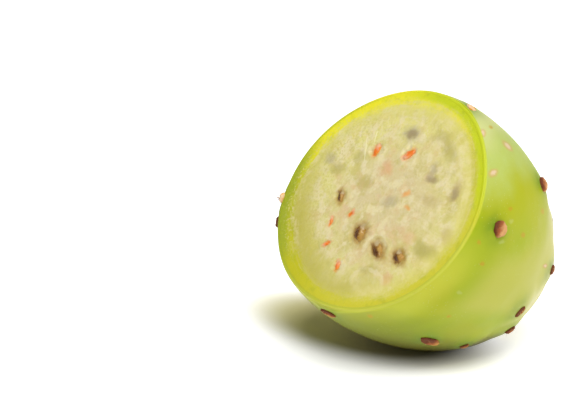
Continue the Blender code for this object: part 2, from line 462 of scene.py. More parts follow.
def rind_colour(place, share):
    """The cut rind's colour: lemon on top, partly painted light shining through it, golden on the right,
    deep yellow below, and greener on the left, partly painted shade.
    """
    spoke = place.vector_maths("NORMALIZE")
    upness = spoke.dot(FACE_UP)
    sideness = spoke.dot(FACE_SIDE)
    return coated(
        RIND_YELLOW,
        # Greener on the left, most near the skin: partly the rind's own colour, partly painted shade.
        (RIND_GREEN_AND_SHADE, grade(sideness + upness * 0.15, 0.6, 0.95) * 0.4),
        (RIND_GOLD, grade(sideness + upness * 0.3, 0.35, -0.35) * grade(upness, 0.5, 0.0)),
        # Lemon on top: partly the rind's own colour, partly painted light.
        (RIND_LEMON_AND_LIGHT, grade(upness + sideness * 0.35, 0.15, 0.85)),
        (RIND_LIME, grade(upness - sideness * 0.8, 0.7, 1.15) * grade(share, 0.85, 0.45)),
        (RIND_GREEN_AND_SHADE, grade(share, 0.3, 0.12) * grade(sideness - upness * 0.3, 0.0, 0.6) * 0.6),
        (RIND_GREEN_AND_SHADE, grade(share, 0.8, 0.4) * grade(sideness - upness * 0.25, 0.8, 0.98) * 0.8),
    )


LIME = (0.32, 0.39, 0.004)
YELLOW_GREEN = (0.375, 0.395, 0.005)
YELLOW_BAND = (0.57, 0.57, 0.05)
LOWER_YELLOW_AND_LIGHT = (0.47, 0.46, 0.07)
GREEN_PATCH = (0.22, 0.33, 0.012)
PALE_CROWN = (0.64, 0.59, 0.26)
PAINTED_SHEEN_PALE = (0.43, 0.515, 0.14)
PAINTED_SHEEN_TOP = (0.58, 0.59, 0.25)
PAINTED_SHADE_GREEN = (0.165, 0.19, 0.001)
PAINTED_SHADE_UNDER = (0.06, 0.045, 0.001)
RIM_PALE_AND_HIGHLIGHT = (0.5, 0.53, 0.06)
AREOLE_HALO = (0.11, 0.22, 0.012)
WAX_DOT = (0.52, 0.56, 0.2)
SCAR_CORK = (0.4, 0.3, 0.12)
FRECKLE = (0.46, 0.29, 0.01)
SCAR_EDGE = (0.56, 0.28, 0.11)
SCAR_PALE = (0.69, 0.53, 0.39)
PALE_RIM_AT = math.radians(-155.5)
PALE_RIM_TO = Vector((0, math.sin(PALE_RIM_AT), math.cos(PALE_RIM_AT)))
PORES_A_METRE = 1050
# Marks, in mm: along the core, degrees round it, half length, half width and turn
FRECKLES = (
    (10, -75, 0.8, 0.5, 25),
    (25, -65, 1.2, 0.6, 25),
    (17, -82, 0.9, 0.6, 15),
    (4, -95, 0.6, 0.5, 15),
    (8, -102, 0.7, 0.5, 0),
    (1, -158, 0.8, 0.6, -40),
    (12, -130, 0.6, 0.4, 0),
    (7, -35, 0.9, 0.5, 40),
    (21, 60, 0.7, 0.6, 0),
    (12, 130, 0.6, 0.5, 0),
    (30, 100, 0.8, 0.6, 50),
)
PALE_SPOTS = (
    (11, -80, 0.9, 0.5, 20),
    (10, -90, 0.9, 0.4, 20),
    (8, -118, 0.7, 0.5, 0),
    (15, 60, 0.9, 0.7, 0),
    (24, 120, 0.8, 0.6, 0),
)
OLD_SCARS = (
    (3, -41, 1.3, 0.8, 50),
    (11, -43, 1.8, 1.3, 10),
    (4, -62, 1.6, 0.8, 40),
    (34, -86, 1.1, 0.5, 15),
    (15, 95, 1.3, 0.7, 40),
    (28, 150, 1.5, 0.9, 0),
)

finish, shader, place = new_finish(
    "waxy green skin", Subsurface_Weight=0.35, Subsurface_Radius=(1.0, 0.8, 0.25), Subsurface_Scale=0.0006,
    Specular_IOR_Level=0.2,
)
along = place.node("SeparateXYZ", {}, {0: place}, "X")
uppermost = place.node("SeparateXYZ", {}, {0: place}, "Z")
below_cut = place.dot(-FACE_NORMAL)
height = uppermost * math.cos(CORE_DIP) - along * math.sin(CORE_DIP) + FACE_CENTRE.z
underneath = place.attribute("underneath")
spoke = place.vector_maths("NORMALIZE")
pale_side = spoke.dot(PALE_RIM_TO)
drift = (cloud(place, 0.012, 4) - 0.5) * 0.012
low_side = grade(height + drift, 0.037, 0.027) * grade(along, 0.006, 0.016) * grade(underneath, 0.62, 0.42)
halo_share = place.attribute("near_areole") * (0.45 + grade(cloud(place, 0.004, 3), 0.3, 0.65) * 0.45)
pores = place.node("TexVoronoi", {}, {"Vector": place, "Scale": PORES_A_METRE}, "Distance")
colour = coated(
    LIME,
    (YELLOW_GREEN, grade(cloud(place, 0.022, 3), 0.36, 0.6)),
    (GREEN_PATCH, grade(cloud(place, 0.013, 3), 0.56, 0.8) * 0.2),
    # The low side is lighter and yellower: partly the skin's own tone, partly painted light.
    (LOWER_YELLOW_AND_LIGHT, low_side * 0.8),
    (YELLOW_BAND, grade(below_cut + drift * 0.4, 0.009, 0.002) * grade(pale_side, 0.4, 0.8) * 0.55),
    # Painted shade: darker green where the skin faces down, and dark olive low down near the floor.
    (PAINTED_SHADE_GREEN, grade(underneath, 0.5, 0.78) * grade(along, 0.03, 0.014) * 0.8),
    (PAINTED_SHADE_UNDER, grade(height, 0.0135, 0.002) * grade(underneath, 0.6, 0.82) * 0.9),
    (PALE_CROWN, grade(along + drift, 0.027, 0.044) * grade(height, 0.006, 0.014) * 0.85),
    # Painted sheen: the skin is paler and whiter towards the top.
    (PAINTED_SHEEN_PALE, grade(height + drift, 0.043, 0.053) * (0.6 + cloud(place, 0.0025, 4) * 0.4)),
    (PAINTED_SHEEN_TOP, grade(height + drift * 0.5, 0.053, 0.06) * 0.8),
    (AREOLE_HALO, halo_share * 0.9),
    (WAX_DOT, grade(pores, 0.2, 0.1) * grade(cloud(place, 0.01, 2), 0.42, 0.6) * 0.3),
)
ragged = shaken(place, 0.001, 0.001, 4)
for mark in PALE_SPOTS:
    colour = tinted(colour, WAX_DOT, grade(skin_mark(ragged, mark), 1.6, 0.3) * 0.3)
for mark in FRECKLES:
    colour = tinted(colour, FRECKLE, grade(skin_mark(ragged, mark), 1.6, 0.4) * 0.8)
for mark in OLD_SCARS:
    reach = skin_mark(ragged, mark)
    colour = tinted(colour, SCAR_EDGE, grade(reach, 1.6, 0.7) * 0.55)
    colour = tinted(colour, SCAR_PALE, grade(reach, 1.0, 0.3) * 0.7)
core_gap = place.vector_maths("MULTIPLY", (0, 1, 1)).length()
in_scar = grade(along, LIP_AT - 0.002, LIP_AT + 0.001) * grade(core_gap, LIP_OUT + 0.002, LIP_OUT - 0.002)
cork = grade(cloud(place, 0.0022, 4), 0.35, 0.65)
colour = tinted(colour, SCAR_CORK, in_scar * (0.35 + cork * 0.5))
darker = grade(spoke.dot(-FACE_SIDE), 0.0, 0.5) * 0.12
rim_colour = tinted(rind_colour(place, 0 * along + 0.15), (0, 0, 0), darker)
# The rim is pale on its lower right: partly the pale cuticle, partly a painted highlight.
rim_colour = tinted(rim_colour, RIM_PALE_AND_HIGHLIGHT, grade(pale_side, 0.3, 0.6) * 0.8)
colour = tinted(colour, rim_colour, grade(below_cut, 0.0007, 0.0003) * 0.95)
plug(colour, shader, "Base Color")
plug(0.36 + cloud(place, 0.006, 3) * 0.16 + in_scar * 0.25, shader, "Roughness")
grain_height = cloud(place, 0.0012, 3) * 0.6 + cloud(place, 0.00035, 2) * 0.3 - grade(pores, 0.2, 0.08) * 0.3
bump(grain_height, shader, 0.5, 0.00006)
skin.data.materials.append(finish)
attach(skin, "root")
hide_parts("prickly_pear_fruit")


# The cut face: the bright rind just under the skin, and the moist pulp, full of fine cells and seeds, that
# bulges a little out of the cut. It is a disc let into the skin, cut flat and then uneven from the knife.
RIND_WIDTHS = (0.0042, 0.0039, 0.0043, 0.005, 0.0038, 0.0034, 0.0031, 0.0034)
RIND_CROWN = 0.00006
PULP_STEP = 0.00016
PULP_CROWN = 0.0009
FACE_CELLS = 236
DISC_LAP = 0.00006
DISC_CLEARANCE = 0.0002
EDGE_LIFT = 0.00002
BORDER_WIDTH = 0.004
STANDS_CLEAR = 0.0004
SEED_BED = 0.00028
SEED_COLLAR = 0.00014
SEED_RAGGED = 0.00035
FACE_LUMPS = ((210, 0.00013), (620, 0.00007), (1500, 0.00003))
# Each seed: sideways, up, turn, half length, half width, and how far it stands out
RIPE_SEEDS = (
    (0.0109, -0.0017, 22.0, 0.00175, 0.0011, 0.00032),
    (0.0001, -0.0091, 20.0, 0.0024, 0.00195, 0.00036),
    (-0.0071, -0.0118, 50.0, 0.0026, 0.0017, 0.0003),
    (-0.0138, -0.012, 45.0, 0.00205, 0.0016, 0.00032),
)
UNRIPE_SEEDS = (
    (0.0069, 0.0117, 2.0, 0.0019, 0.0011, 0.0004),
    (-0.0031, 0.0128, 144.0, 0.00205, 0.0012, 0.0004),
    (0.0103, -0.0084, 8.0, 0.0014, 0.0006, 0.00025),
    (0.0053, -0.0052, -20.0, 0.0012, 0.00075, 0.00008),
    (0.0084, -0.0139, 130.0, 0.0015, 0.0007, 0.00025),
    (0.0023, -0.0184, 12.0, 0.0017, 0.0009, 0.0003),
)


def rind_width(angle):
    """The rind isn't equally thick all round: this runs through the widths at each eighth of a turn."""
    place = (angle / math.tau * len(RIND_WIDTHS)) % len(RIND_WIDTHS)
    first = int(place)
    ease = (1 - math.cos(math.pi * (place - first))) / 2
    return RIND_WIDTHS[first] * (1 - ease) + RIND_WIDTHS[(first + 1) % len(RIND_WIDTHS)] * ease


def cut_height(from_rim, width, sideways, up):
    """How far the cut face stands out of the plane of the cut."""
    in_rind = ramp(from_rim, 0, width)
    step = smoothed(max(0, min(1, (from_rim - width) / BORDER_WIDTH + 0.5)))
    share = math.hypot(sideways, up) / (WIDEST_RADIUS - width)
    dome = PULP_STEP + (PULP_CROWN - PULP_STEP) * max(0, 1 - share**2)
    height = RIND_CROWN * math.sin(math.pi * in_rind) * (1 - step) + dome * step
    point = Vector((sideways, up, 0))
    height += layered(point, FACE_LUMPS) * min(1, from_rim / 0.001) * (0.25 + 0.75 * step)
    for seed_sideways, seed_up, _, half_length, half_width, stands in RIPE_SEEDS + UNRIPE_SEEDS:
        gap = math.hypot(sideways - seed_sideways, up - seed_up) / (half_length + half_width) * 2
        bare = min(1, stands / STANDS_CLEAR)
        if gap < 3:
            height -= SEED_BED * bare * bell(gap, 1)
            height += SEED_COLLAR * bare * bell(gap - 1.45, 0.4)
            height += SEED_RAGGED * bare * noise.noise(point * 800) * bell(gap - 1, 0.5)
    return height


bpy.ops.object.select_all(action="DESELECT")
bpy.ops.mesh.primitive_grid_add(x_subdivisions=FACE_CELLS, y_subdivisions=FACE_CELLS, size=2)
flesh = bpy.context.object
flesh.name = "cut_face"
shares = []
spots = []
for vert in flesh.data.vertices:
    x, y = vert.co.x, vert.co.y
    on_disc = Vector((x * math.sqrt(1 - y * y / 2), y * math.sqrt(1 - x * x / 2)))
    angle = math.atan2(on_disc.x, on_disc.y)
    rim = skin_point(rim_distance(angle), angle)
    reach = rim.length - RIM_BREAK - CUTICLE + DISC_LAP
    point = rim.normalized() * reach * on_disc.length
    from_rim = rim.length - point.length
    width = rind_width(angle)
    shares.append(from_rim / width)
    sideways, up = point.dot(FACE_SIDE), point.dot(FACE_UP)
    spots.append((sideways / MM, up / MM))
    height = cut_height(from_rim - RIM_BREAK - CUTICLE, width, sideways, up)
    vert.co = point + FACE_NORMAL * (height + EDGE_LIFT)
rind_share = flesh.data.attributes.new("rind_share", "FLOAT", "POINT")
rind_share.data.foreach_set("value", shares)
bpy.ops.object.mode_set(mode="EDIT")
select_border()
bpy.ops.mesh.extrude_edges_move(TRANSFORM_OT_translate={"value": FACE_NORMAL * (DISC_CLEARANCE - CUT_BED)})
bpy.ops.mesh.edge_face_add()
bpy.ops.mesh.poke()
finish_edit()
lay_down(flesh)
bpy.ops.object.shade_smooth_by_angle(angle=math.radians(50))

SOFT_YELLOW = (0.66, 0.61, 0.13)
PULP_OLIVE = (0.5, 0.45, 0.08)
PULP_BEIGE = (0.66, 0.56, 0.295)
PULP_YELLOW = (0.67, 0.615, 0.225)
PULP_LIGHT = (0.73, 0.68, 0.23)
PULP_WISP = (0.85, 0.79, 0.48)
PULP_CREAM = (0.755, 0.67, 0.395)
PULP_PINK = (0.68, 0.495, 0.265)
PULP_GLASSY = (0.535, 0.465, 0.125)
AMBER_JELLY = (0.44, 0.29, 0.05)
DIM_GREY = (0.4, 0.34, 0.22)
DIM_OLIVE = (0.44, 0.385, 0.095)
DIM_BROWN = (0.3, 0.22, 0.11)
DIM_TAN = (0.52, 0.4, 0.18)
DIM_ROSE = (0.7, 0.4, 0.2)
DIM_ORANGE = (0.78, 0.37, 0.09)
# Dim spots under the surface, in mm: sideways, up, half length, half width, turn, colour and strength
UNDER_SURFACE = (
    (-1, 18, 2.5, 2.0, 90, DIM_GREY, 0.55),
    (-1, 18, 1.5, 1.0, 90, DIM_BROWN, 0.7),
    (-21, 7, 2.5, 1.5, 0, DIM_TAN, 0.6),
    (-21, 6, 1.5, 1.0, 0, DIM_BROWN, 0.6),
    (-13, 8, 1.5, 1.0, 90, DIM_BROWN, 0.7),
    (-12, 10, 2.0, 1.0, 0, DIM_GREY, 0.55),
    (-10, 19, 3.0, 1.5, -75, DIM_OLIVE, 0.5),
    (-14, 16, 3.0, 1.5, 45, DIM_OLIVE, 0.65),
    (-19, -9, 2.5, 1.5, 60, DIM_OLIVE, 0.8),
    (-22, -9, 2.0, 1.5, 75, DIM_OLIVE, 0.7),
    (-24, -4, 2.0, 1.5, 30, DIM_TAN, 0.6),
    (-14, -7, 2.0, 1.5, 60, DIM_ROSE, 0.45),
    (-13, -18, 1.5, 1.5, 0, DIM_ROSE, 0.65),
    (-4, 0, 2.5, 1.5, -75, DIM_GREY, 0.5),
    (20, 7, 2.0, 1.5, 80, DIM_GREY, 0.6),
    (16, 5, 2.5, 1.5, -80, DIM_OLIVE, 0.65),
    (11, 9, 2.0, 1.5, 90, DIM_OLIVE, 0.5),
    (6, 3, 2.5, 1.5, 90, DIM_OLIVE, 0.45),
    (1, 8, 2.0, 1.5, 45, DIM_ROSE, 0.6),
    (-7, -17, 2.5, 1.0, -80, DIM_OLIVE, 0.6),
    (-3, -23, 3.0, 1.5, 90, DIM_OLIVE, 0.55),
    (-15, 3, 3.0, 1.5, 90, DIM_TAN, 0.5),
    (-8, 3, 1.0, 0.7, 90, DIM_ORANGE, 0.8),
    (-10, 0, 1.0, 0.6, 90, DIM_ORANGE, 0.7),
)
SEED_DARK = (0.085, 0.03, 0.008)
SEED_BROWN = (0.19, 0.08, 0.018)
SEED_RUST = (0.33, 0.145, 0.022)
SEED_AMBER = (0.4, 0.22, 0.02)
SEED_HONEY = (0.48, 0.28, 0.07)
SEED_FILM_AND_HIGHLIGHT = (0.52, 0.42, 0.24)
SEED_FLAME = (0.78, 0.17, 0.014)
SEED_ORANGE = (0.78, 0.26, 0.035)
SEED_PEACH = (0.79, 0.32, 0.14)
SEED_ROSE = (0.78, 0.47, 0.28)
# How every seed of a kind is marked, in shares of its own half length and half width: ahead, aside, half
# sizes, colour and strength. A ripe one has jelly round it, a dark side, and a pale spot at its head, partly
# a clear film and partly a painted highlight.
RIPE_LOOK = (
    (0.0, 0.0, 1.35, 1.45, AMBER_JELLY, 0.65),
    (-0.7, -0.4, 1.0, 0.6, AMBER_JELLY, 0.6),
    (0.0, 0.0, 1.0, 1.0, SEED_RUST, 0.6),
    (0.1, 0.4, 0.75, 0.5, SEED_BROWN, 0.9),
    (-0.1, 0.4, 0.45, 0.3, SEED_DARK, 0.9),
    # Pale spot at the head: partly a film of pulp, partly a painted highlight.
    (0.6, -0.3, 0.35, 0.35, SEED_FILM_AND_HIGHLIGHT, 0.75),
    (-0.3, -0.4, 0.5, 0.35, SEED_HONEY, 0.7),
)
# An unripe one is rosy at its head and runs out into an orange tail
UNRIPE_LOOK = (
    (0.0, 0.0, 1.0, 0.9, SEED_ORANGE, 0.8),
    (0.6, 0.0, 0.45, 0.6, SEED_ROSE, 0.85),
    (0.3, -0.2, 0.4, 0.45, SEED_PEACH, 0.8),
    (-0.2, 0.1, 0.5, 0.4, SEED_FLAME, 0.9),
)


def marked(seeds, look):
    """The marks that a look puts on each seed, as ovals in mm on the cut face."""
    marks = []
    for sideways, up, degrees, half_length, half_width, _ in seeds:
        turn = math.radians(degrees)
        headward = Vector((math.sin(turn), math.cos(turn))) * half_length
        sideward = Vector((math.cos(turn), -math.sin(turn))) * half_width
        for ahead, aside, length_share, width_share, tint, strength in look:
            middle = (Vector((sideways, up)) + headward * ahead + sideward * aside) / MM
            sizes = (length_share * half_length / MM, width_share * half_width / MM)
            marks.append((*middle, *sizes, degrees, tint, strength))
    return marks


RIPE_MARKS = marked(RIPE_SEEDS, RIPE_LOOK)
UNRIPE_MARKS = marked(UNRIPE_SEEDS, UNRIPE_LOOK)
# The largest wet cell in mm: sideways, up, half sizes and turn. The fibres run from end to end, in metres.
BIG_CELL = (-8.2, -20.1, 4.4, 3.1, 84)
FIBRES = (
    ((0.0096, 0.0167), (0.0088, 0.0136)),
    ((0.0118, 0.0148), (0.0089, 0.0082)),
)
FIBRE_HALF_WIDTH = 0.00022
# The seeds' tint: how near a mark counts in mm, where its edge ends, and how ragged it is
PAINT_REACH = 5
PAINT_EDGE = 1.45
PAINT_RAGGED = ((0.9, 0.5), (2.3, 0.25))
# How far from the core the streaks and rings are as large as they say
STREAKS_TRUE_AT = 0.02
RINGS_TRUE_AT = 0.028


def on_face(sideways, up):
    return FACE_SIDE * sideways + FACE_UP * up


def along_face(degrees):
    """A direction on the cut face, turned from up towards sideways."""
    turn = math.radians(degrees)
    return FACE_UP * math.cos(turn) + FACE_SIDE * math.sin(turn)


def face_mark(place, sideways, up, half_length, half_width, degrees):
    """The reach of an oval mark on the cut face, in mm."""
    centre = on_face(sideways * MM, up * MM)
    return oval(place, centre, along_face(degrees), FACE_NORMAL, half_length * MM, half_width * MM)


def painted(colour, place, marks, soft=0.5):
    """A colour with oval marks laid over it, each with its own tint and strength."""
    for *form, tint, strength in marks:
        share = grade(face_mark(place, *form), 1 + soft, 1 - soft)
        colour = tinted(colour, tint, share * strength)
    return colour


# The marks of all the seeds are also a tint on the points of the pulp. It shows the jelly round the ripe
# ones, and those seeds that hardly stand out.
seed_marks = RIPE_MARKS + UNRIPE_MARKS
seed_tint = flesh.data.attributes.new("seed_tint", "FLOAT_COLOR", "POINT")
seed_tint.data.foreach_set("color", [0.0] * 4 * len(flesh.data.vertices))
for index, (sideways, up) in enumerate(spots):
    near = [mark for mark in seed_marks if abs(sideways - mark[0]) + abs(up - mark[1]) < PAINT_REACH]
    if not near:
        continue
    point = Vector((sideways, up, 0))
    sideways += layered(point, PAINT_RAGGED)
    up += layered(point, PAINT_RAGGED, Vector((0, 0, 7)))
    tint, cover = Vector((0, 0, 0)), 0
    for mark_sideways, mark_up, half_length, half_width, degrees, mark_tint, strength in near:
        gap = Matrix.Rotation(math.radians(degrees), 2) @ Vector((sideways - mark_sideways, up - mark_up))
        reach = math.hypot(gap.y / half_length, gap.x / half_width)
        part = smoothed(ramp(reach, PAINT_EDGE, -1)) * strength
        tint = tint * (1 - part) + Vector(mark_tint) * part
        cover = cover * (1 - part) + part
    if cover > 0.001:
        seed_tint.data[index].color = (*(tint / cover), cover)

finish, shader, place = new_finish(
    "moist pulp and rind", Subsurface_Weight=0.5, Subsurface_Radius=(1.0, 0.8, 0.35),
    Subsurface_Scale=0.0006, Specular_IOR_Level=0.45,
)
share = place.attribute("rind_share")
from_core = place.length()
spoke = place.vector_maths("NORMALIZE")
upness = spoke.dot(FACE_UP)
sideness = spoke.dot(FACE_SIDE)


def drawn_out(spread, level, detail):
    """Noise at a place made of the spoke's direction, so much spread out, and a level added to it."""
    drawn = spoke.vector_maths("MULTIPLY_ADD", (spread,) * 3, level)
    return place.node("TexNoise", {}, {"Vector": drawn, "Scale": 1.0, "Detail": detail})


def streaks(across, length, detail):
    """Noise drawn out along the spokes from the core, streaks so wide and so long."""
    level = place.node("VectorMath", {"operation": "SCALE"}, {0: place, "Scale": 1 / length})
    return drawn_out(STREAKS_TRUE_AT / across, level, detail)


def rings(across, length, detail):
    """Noise drawn out round the core, streaks so wide and so long."""
    level = place.node("VectorMath", {"operation": "SCALE"}, {0: FACE_NORMAL, "Scale": from_core / across})
    return drawn_out(RINGS_TRUE_AT / length, level, detail)


wisps = streaks(0.0016, 0.005, 4)
curls = rings(0.0009, 0.007, 4)
mottle = cloud(place, 0.0065, 4)
curds = cloud(place, 0.003, 4, 0.3)
blush = cloud(place, 0.0045, 4, 0.5)
grains = cloud(place, 0.0006, 3)
from_level = place.node("Math", {"operation": "ABSOLUTE"}, {0: cloud(place, 0.004, 3, 0.7) - 0.5})
threads = 1 - grade(from_level, 0.0, 0.03)
outward = grade(from_core, 0.01, 0.022)
grainy = 0.3 + grade(sideness, 0.1, 0.8) * outward * 0.7
colour = coated(
    PULP_BEIGE,
    (PULP_YELLOW, grade(from_core + sideness * 0.003, 0.006, 0.021) * 0.9),
    (PULP_LIGHT, grade(upness + sideness * 0.7, 0.2, 1.0) * outward * 0.8),
    (PULP_GLASSY, grade(mottle, 0.5, 0.7) * 0.6),
    (PULP_PINK, grade(blush, 0.48, 0.66) * (1 - outward * 0.6) * 0.75),
    (PULP_CREAM, grade(curds, 0.47, 0.64) * 0.85),
    (PULP_GLASSY, grade(cloud(place, 0.0022, 4, 0.9), 0.53, 0.72) * 0.5),
    (PULP_CREAM, threads * grade(cloud(place, 0.006, 2, 0.2), 0.45, 0.6) * 0.35),
    (PULP_CREAM, grade(wisps, 0.5, 0.7) * outward * 0.5),
    (PULP_CREAM, grade(curls, 0.5, 0.68) * outward * grade(upness, -0.3, 0.5) * 0.5),
    (PULP_CREAM, grade(grains, 0.5, 0.66) * grainy * 0.55),
    (PULP_GLASSY, grade(grains, 0.49, 0.34) * grainy * 0.5),
)
blurred = shaken(place, 0.002, 0.0022, 4)
colour = painted(colour, blurred, UNDER_SURFACE, 0.65)
cell_reach = face_mark(blurred, *BIG_CELL)
cell_ring = grade(cell_reach, 0.82, 0.98) * grade(cell_reach, 1.28, 1.08)
colour = coated(
    colour,
    (PULP_GLASSY, grade(cell_reach, 1.1, 0.5) * 0.4),
    (PULP_CREAM, cell_ring * grade(cloud(place, 0.003, 2), 0.25, 0.5) * 0.6),
)
for start, end in FIBRES:
    start, end = on_face(*start), on_face(*end)
    half = (end - start) / 2
    wavy = shaken(place, 0.002, 0.0005)
    strand = oval(wavy, start + half, half.normalized(), FACE_NORMAL, half.length, FIBRE_HALF_WIDTH)
    colour = tinted(colour, PULP_WISP, grade(strand, 1.4, 0.5) * 0.75)
colour = tinted(colour, place.attribute("seed_tint", "Color"), place.attribute("seed_tint", "Alpha"))

ragged_share = share + (cloud(place, 0.006, 4) - 0.5) * 0.35 + (curls - 0.5) * 0.5 + (grains - 0.5) * 0.6
softness = grade(sideness - upness * 0.1, 0.35, -0.25)
softness = 1 - (1 - softness) * (1 - grade(upness - sideness * 0.2, 0.2, 0.8) * 0.8)
sharp_rind = grade(ragged_share, 1.2, 0.66)
soft_rind = grade(ragged_share, 1.34, 0.36)
in_rind = sharp_rind * (1 - softness) + soft_rind * softness
leftness = grade(sideness, 0.55, 0.9)
rind = coated(
    rind_colour(place, share),
    (PULP_YELLOW, grade(curls, 0.5, 0.68) * grade(share, 0.3, 0.9) * 0.45),
    (PULP_YELLOW, grade(grains, 0.5, 0.66) * leftness * grade(share, 0.25, 0.6) * 0.6),
    (RIND_GREEN_AND_SHADE, grade(cloud(place, 0.0022, 4, 0.4), 0.5, 0.72) * 0.3),
)
low_left = grade(sideness * 0.7 - upness * 0.7, 0.3, 0.9) * grade(share, 3.0, 1.4)
border = grade(ragged_share, 0.8, 1.0) * grade(ragged_share, 1.4, 1.15) * leftness
colour = coated(
    colour,
    (SOFT_YELLOW, grade(share, 2.4, 1.0) * 0.5),
    (PULP_OLIVE, low_left * (0.5 + cloud(place, 0.004, 3) * 0.6)),
    (rind, in_rind),
    (PULP_CREAM, border * grade(cloud(place, 0.0016, 3, 0.9), 0.45, 0.6) * 0.4),
)
plug(colour, shader, "Base Color")
plug(0.34 + mottle * 0.14, shader, "Roughness")
cell_height = grains * (0.4 + grainy) + curds * 0.8 + threads * 0.3 + cloud(place, 0.0003, 2) * 0.3
bump(cell_height, shader, 0.5, 0.00018)
flesh.data.materials.append(finish)
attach(flesh, "root")
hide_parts("prickly_pear_fruit")


# The ripe seeds: hard brown discs with a blunt girdle, half sunk in the pulp that the knife opened, each
# wet and partly wrapped in amber jelly.
RIPE_HALF_THICKNESS = 0.0013
RIPE_LUMPS = ((1.7, 0.14), (4.5, 0.12))
GIRDLE, GIRDLE_WIDTH = 0.07, 0.22


def face_height(point):
    """How far the middle of the pulp stands out of the cut plane here."""
    share = point.length / (WIDEST_RADIUS - RIND_WIDTHS[0])
    return PULP_STEP + (PULP_CROWN - PULP_STEP) * (1 - share**2)


def seed_frame(sideways, up, degrees, height):
    """Where a seed lies: its length along the face, its width, and out of the face."""
    point = on_face(sideways, up)
    point += FACE_NORMAL * (face_height(point) + height)
    return Matrix.Translation(point) @ turned_to(along_face(degrees), FACE_NORMAL).to_4x4()


def joined(pieces, name):
    """Joins like pieces into one object."""
    bpy.ops.object.select_all(action="DESELECT")
    for piece in pieces:
        piece.select_set(True)
    bpy.context.view_layer.objects.active = pieces[0]
    bpy.ops.object.join()
    whole = bpy.context.object
    whole.name = name
    return whole


def ball():
    """A ball of radius 1, to be shaped."""
    bpy.ops.object.select_all(action="DESELECT")
    bpy.ops.mesh.primitive_ico_sphere_add(subdivisions=5, radius=1)
    return bpy.context.object


def grown(rows, half_thickness, reach, name):
    """Seeds, joined and laid down. Reach says how far out each point goes, in shares of the half sizes."""
    seeds = []
    for number, (sideways, up, degrees, half_length, half_width, stands) in enumerate(rows):
        seed = ball()
        for vert in seed.data.vertices:
            point = reach(vert.co.normalized(), number)
            vert.co = Vector((point.x * half_length, point.y * half_width, point.z * half_thickness))
        seed.data.transform(seed_frame(sideways, up, degrees, stands - half_thickness))
        seeds.append(seed)
    whole = joined(seeds, name)
    lay_down(whole)
    bpy.ops.object.shade_smooth()
    return whole


def ripe_reach(direction, number):
    lump = layered(direction, RIPE_LUMPS, Vector((number * 7, 0, 0)), 1)
    return direction * (lump + GIRDLE * bell(direction.z, GIRDLE_WIDTH))


ripe = grown(RIPE_SEEDS, RIPE_HALF_THICKNESS, ripe_reach, "ripe_seeds")

finish, shader, place = new_finish(
    "wet brown seed", Subsurface_Weight=0.15, Subsurface_Radius=(1.0, 0.5, 0.2), Subsurface_Scale=0.0006,
    Specular_IOR_Level=0.3, Coat_Weight=0.08, Coat_Roughness=0.1,
)
colour = tinted(SEED_BROWN, SEED_AMBER, grade(cloud(place, 0.0011, 4), 0.45, 0.62))
colour = tinted(colour, SEED_BROWN, grade(cloud(place, 0.0008, 4, 0.6), 0.52, 0.68) * 0.6)
colour = painted(colour, shaken(place, 0.0012, 0.0012, 4), RIPE_MARKS)
plug(colour, shader, "Base Color")
plug(0.2 + cloud(place, 0.0006, 2) * 0.2, shader, "Roughness")
bump(cloud(place, 0.0008, 3), shader, 0.8, 0.0002)
ripe.data.materials.append(finish)
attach(ripe, "root")
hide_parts("prickly_pear_fruit")


# The unripe seeds: small soft drops, orange-red and half clear, in the same pulp. Each is fat and pale at
# one end and runs out into an orange tail.
UNRIPE_HALF_THICKNESS = 0.0009
UNRIPE_LUMPS = ((1.6, 0.16), (4.0, 0.12))


def unripe_reach(direction, number):
    taper = 0.86 + 0.34 * direction.x
    point = direction * layered(direction, UNRIPE_LUMPS, Vector((number * 5, 3, 0)), 1)
    return Vector((point.x, point.y * taper, point.z * taper))


unripe = grown(UNRIPE_SEEDS, UNRIPE_HALF_THICKNESS, unripe_reach, "unripe_seeds")

finish, shader, place = new_finish(
    "soft orange seed", Subsurface_Weight=0.5, Subsurface_Radius=(1.0, 0.35, 0.15), Subsurface_Scale=0.0006,
    Specular_IOR_Level=0.3, Coat_Weight=0.25, Coat_Roughness=0.1,
)
colour = tinted(SEED_ORANGE, SEED_PEACH, grade(cloud(place, 0.0013, 3), 0.42, 0.6))
colour = painted(colour, shaken(place, 0.0012, 0.0012, 4), UNRIPE_MARKS)
plug(colour, shader, "Base Color")
plug(0.22 + cloud(place, 0.0006, 2) * 0.15, shader, "Roughness")
bump(cloud(place, 0.0005, 2), shader, 0.4, 0.00006)
unripe.data.materials.append(finish)
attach(unripe, "root")
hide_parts("prickly_pear_fruit")


# The areoles: dry corky pads, from which the spines were rubbed off, grown fast to the skin. Each is dark
# and hollow on the cut's side and tan felt on the crown's side. The ones cut through at the rim are pale.
PAD_ROOT = 0.0007
PAD_LUMPS = ((1.6, 0.12), (4, 0.06), (11, 0.03))
CROWN_RING_FROM = 18
CROWN_PAD_HEIGHT = 0.0004
FLOOR_GAP = 0.00005
# Ranges for the later pads: half length, half width as a share of it, height, turn and peach share
LATER_PADS = ((0.0015, 0.0022), (0.7, 0.9), (0.0007, 0.0011), (40, 100), (0, 0.6))
